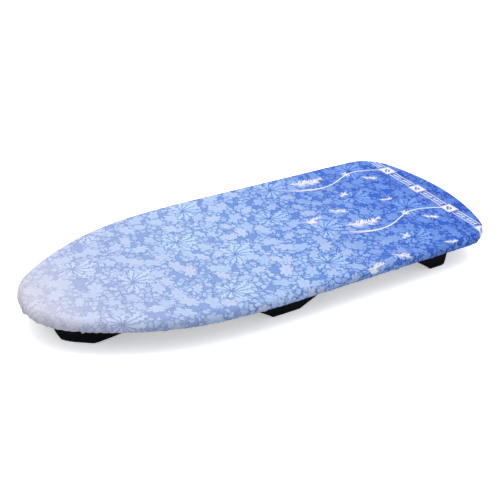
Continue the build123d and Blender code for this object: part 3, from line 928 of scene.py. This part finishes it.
seam = stitches()
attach(seam, "board")
paint(seam, cloth_like("sewing_thread", (0.72, 0.74, 0.82), (0.9, 0.9, 0.94), pitch=0.3))


def cord_path(step):
    """The drawstring's middle line: round in the hem, then two strands to the bell."""
    turn_y = STRAND_Y + STRAND_TURN
    turn_reach = END_RADIUS - HEM_INSET - STRAND_TURN
    turn_angle = degrees(asin(turn_y / turn_reach))
    turn_x = END[0] + sqrt(turn_reach**2 - turn_y**2)
    line, _ = hem_path(3.0, turn_angle)
    bend, steps = [], 12
    for k in range(steps + 1):
        a = radians(turn_angle + (-90 - turn_angle) * k / steps)
        bend.append((turn_x + STRAND_TURN * cos(a), turn_y + STRAND_TURN * sin(a), HEM_Z))
    x = np.arange(turn_x - step, STRAND_END, -step)
    bend += [(v, STRAND_Y, HEM_Z) for v in x] + [(STRAND_END, STRAND_Y, HEM_Z)]
    strand = np.array(bend[1:])
    other = strand * (1, -1, 1)
    return np.concatenate([strand[::-1], line, other])


cord_line = cord_path(0.8)
cord_steps = np.linalg.norm(np.diff(cord_line, axis=0), axis=1)
cord_runs = np.concatenate([[0], np.cumsum(cord_steps)])
BRAID = 3.2                   # length of cord in which the braid turns once


def cord_radius(k, a):
    """Two sets of four threads that wind opposite ways."""
    s = cord_runs[k] * 2 * pi / BRAID
    return 1.16 + 0.07 * max(cos(4 * a - s), cos(4 * a + s))


string = tube("drawstring_braid", cord_line, cord_radius, sides=16)
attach(string, "board")
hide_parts("drawstring")
paint(string, cloth_like("braided_cord", (0.62, 0.62, 0.66), (0.86, 0.86, 0.9), pitch=0.5))


# ---- cord lock spring ----------------------------------------------------------------------
SPRING_X, SPRING_FIRST, SPRING_LAST = 319.0, -11.7, -7.3
SPRING_RADIUS, WIRE, PITCH = 1.7, 0.25, 1.0
PER_TURN = 28                 # points in one turn


def spring():
    """The coil between the lock's barrel and its button."""
    turns = (SPRING_LAST - SPRING_FIRST) / PITCH
    count = int(turns * PER_TURN)
    outwards, path = [], []
    for k in range(count + 1):
        a = 2 * pi * turns * k / count
        outward = np.array([cos(a), 0.0, sin(a)])
        y = SPRING_FIRST + (SPRING_LAST - SPRING_FIRST) * k / count
        outwards.append(outward)
        path.append(np.array([SPRING_X, y, HEM_Z]) + SPRING_RADIUS * outward)
    tangents = np.gradient(np.array(path), axis=0)
    tangents /= np.linalg.norm(tangents, axis=1)[:, None]
    sides = 8
    shell = []
    for p, outward, tangent in zip(path, outwards, tangents):
        other = np.cross(tangent, outward)
        shell += [p + WIRE * (outward * cos(b) + other * sin(b))
                  for b in np.arange(sides) * 2 * pi / sides]
    return new_object("lock_coil", shell, bridge(sides, len(path)) + caps(sides, len(shell)))


coil = spring()
merge_close(coil, 0.0001)
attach(coil, "cord_lock")
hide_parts("lock_spring")
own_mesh(coil)
paint(coil, metal("spring_steel", (0.42, 0.42, 0.43), (0.68, 0.68, 0.69),
                  rough=0.28, scratch=(0.4, 6.0, 0.4)))

# ---- carried-over CAD nodes ----------------------------------------------------------------
black = plastic("moulded_black", (0.5, 0.5, 0.7), rough=0.8, grain=2.2, gloss=0.03)
lock_black = plastic("lock_black", (9.0, 9.0, 10.0), rough=0.5, grain=3.0)
grey_button = plastic("button_grey", (22.0, 22.0, 25.0), rough=0.48, grain=3.0)
skin, sole = foam_skin(), rubber()
FINISHES = {
    "core_board": skin,
    "foot_screws": metal("zinc_plate", (0.40, 0.41, 0.43), (0.66, 0.67, 0.69),
                         rough=0.32, scratch=(1.2, 1.2, 3.0)),
    "threaded_inserts": metal("turned_brass", (0.52, 0.38, 0.14), (0.80, 0.62, 0.28),
                              rough=0.3, scratch=(0.3, 0.3, 9.0)),
    "lock_barrel": lock_black,
    "cord_bell": lock_black,
    "lock_plunger": grey_button,
}
for corner in ("nose", "middle", "end"):
    for hand in ("right", "left"):
        FINISHES[f"foot_{corner}_{hand}"] = black
        FINISHES[f"pad_{corner}_{hand}"] = sole
for node, material in FINISHES.items():
    paint(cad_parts[node], material)


# ---- the area of the cloth's cut, worked out and not kept -----------------------------------
def flat_area(inset):
    """Area in square metres inside the board's outline moved in by inset."""
    spots, outs, _ = outline(2.0)
    p = spots - inset * outs
    q = np.roll(p, -1, axis=0)
    return abs((p[:, 0] * q[:, 1] - q[:, 0] * p[:, 1]).sum()) / 2 * MM * MM


# cloth beyond the board's outline when cut
wrap = EDGE * pi + TUCKED * TUCKED_STEP - EDGE
flat_area(-wrap)
flat_area(1.85)


# ---- floor, light and camera -----------------------------------------------------------------
FLOOR = 40000.0               # half its side, so that no view shows an edge


def floor():
    """A plain pale card, which glows a little so that the shadow on it stays soft."""
    look = Look("floor_card", Roughness=0.9, Specular_IOR_Level=0.1)
    x, y, z = look.place()
    grain = look.noise(look.vector(x, y, z), 0.02, 3.0)
    colour = look.mix((0.95, 0.95, 0.95), (0.98, 0.98, 0.98), grain)
    look.shader.inputs["Emission Color"].default_value = (1, 1, 1, 1)
    look.shader.inputs["Emission Strength"].default_value = 0.45
    look.finish(colour, 0.88 + grain * 0.05)
    corners = [(x * FLOOR, y * FLOOR, 0) for x, y in ((-1, -1), (1, -1), (1, 1), (-1, 1))]
    piece = new_object("floor", corners, [(0, 1, 2, 3)], smooth=False)
    paint(piece, look.material)


floor()


SKY = 1.25
LAMPS = [
    # name, place and size in metres, watts
    ("key", (0.3, 0.1, 2.4), (2.4, 2.4), 38),
    ("back", (0.9, 1.5, 1.8), (2.0, 2.0), 12),
]


def studio():
    """Soft light from all round, brightest overhead and behind, and two large lamps."""
    world = bpy.data.worlds.new("studio")
    bpy.context.scene.world = world
    world.use_nodes = True
    tree = world.node_tree
    background = tree.nodes["Background"]
    background.inputs["Strength"].default_value = SKY
    place = tree.nodes.new("ShaderNodeTexCoord")
    split = tree.nodes.new("ShaderNodeSeparateXYZ")
    tree.links.new(place.outputs["Generated"], split.inputs[0])
    x, y, z = (Num(tree, out) for out in split.outputs)
    height = (z * 0.90 + x * 0.24 + y * 0.30).ramp(-0.10, 0.80)
    shade = tree.nodes.new("ShaderNodeValToRGB")
    tree.links.new(height.out, shade.inputs[0])
    shade.color_ramp.elements[0].color = (0.26, 0.27, 0.30, 1)
    shade.color_ramp.elements[1].color = (1.0, 1.0, 1.0, 1)
    tree.links.new(shade.outputs[0], background.inputs["Color"])
    for name, at, size, power in LAMPS:
        data = bpy.data.lights.new(name, "AREA")
        data.shape = "RECTANGLE"
        data.size, data.size_y = size
        data.energy = power
        piece = bpy.data.objects.new(name, data)
        piece.location = Vector(at)
        piece.rotation_mode = "QUATERNION"
        piece.rotation_quaternion = (-Vector(at)).to_track_quat("-Z", "Y")
        bpy.context.scene.collection.objects.link(piece)


studio()
bpy.context.scene.view_settings.view_transform = "Standard"

AZIMUTH, ELEVATION, ROLL = radians(54.88), radians(31.90), radians(3.91)
DISTANCE = 1.377              # metres from the point looked at
look_at = Vector((-15, 0, -7)) * MM
ahead = Vector((cos(ELEVATION) * cos(AZIMUTH), cos(ELEVATION) * sin(AZIMUTH), -sin(ELEVATION)))
right = ahead.cross(Vector((0, 0, 1))).normalized()
up = right.cross(ahead)
camera_x = right * cos(ROLL) + up * sin(ROLL)
camera_y = up * cos(ROLL) - right * sin(ROLL)
camera = bpy.data.objects.new("camera", bpy.data.cameras.new("camera"))
camera.data.sensor_width = 36
camera.data.lens = 66.4
camera.data.shift_x = 0.003
camera.data.shift_y = 0.047
camera.data.clip_start, camera.data.clip_end = 0.05, 200
turned = Matrix((camera_x, camera_y, -ahead)).transposed().to_4x4()
turned.translation = look_at - ahead * DISTANCE
camera.matrix_world = turned
bpy.context.scene.collection.objects.link(camera)
bpy.context.scene.camera = camera
